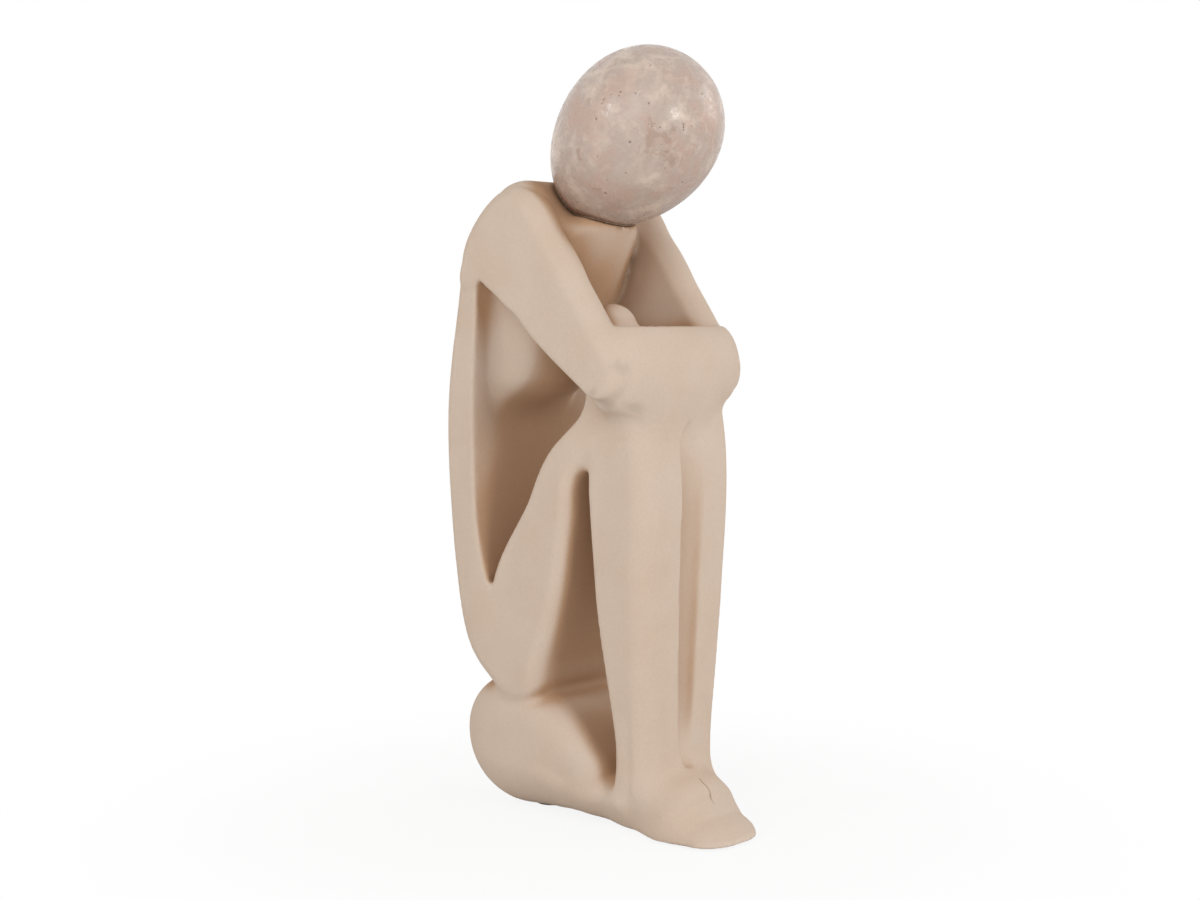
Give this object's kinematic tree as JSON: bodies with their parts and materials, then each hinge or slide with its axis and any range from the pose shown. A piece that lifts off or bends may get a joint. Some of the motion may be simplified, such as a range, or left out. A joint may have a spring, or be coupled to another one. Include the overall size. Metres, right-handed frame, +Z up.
{
  "type": "figurine",
  "caption": "Seated figure of carved pale stone that hugs its knees, with a polished stone egg for a head, standing on small felt pads.",
  "frame": {"origin": "on the surface that the pads stand on, below the middle of the bounding box", "axes": "+Z up through the head, -Y the way the figure faces, +X to the figure's left"},
  "size_m": [0.0786, 0.1308, 0.2987],
  "materials": {
    "pale_stone": "matt, finely rubbed",
    "polished_stone": "polished, cloudy, with small pits",
    "steel": "plain",
    "glue": "cured resin",
    "felt": "pressed felt"
  },
  "bodies": {
    "root": {"stone_body": "pale_stone", "stone_head": "polished_stone", "neck_pin": "steel", "glue_bed": "glue", "felt_pad_seat": "felt", "felt_pad_right_toes": "felt", "felt_pad_left_toes": "felt"}
  },
  "joints": []
}
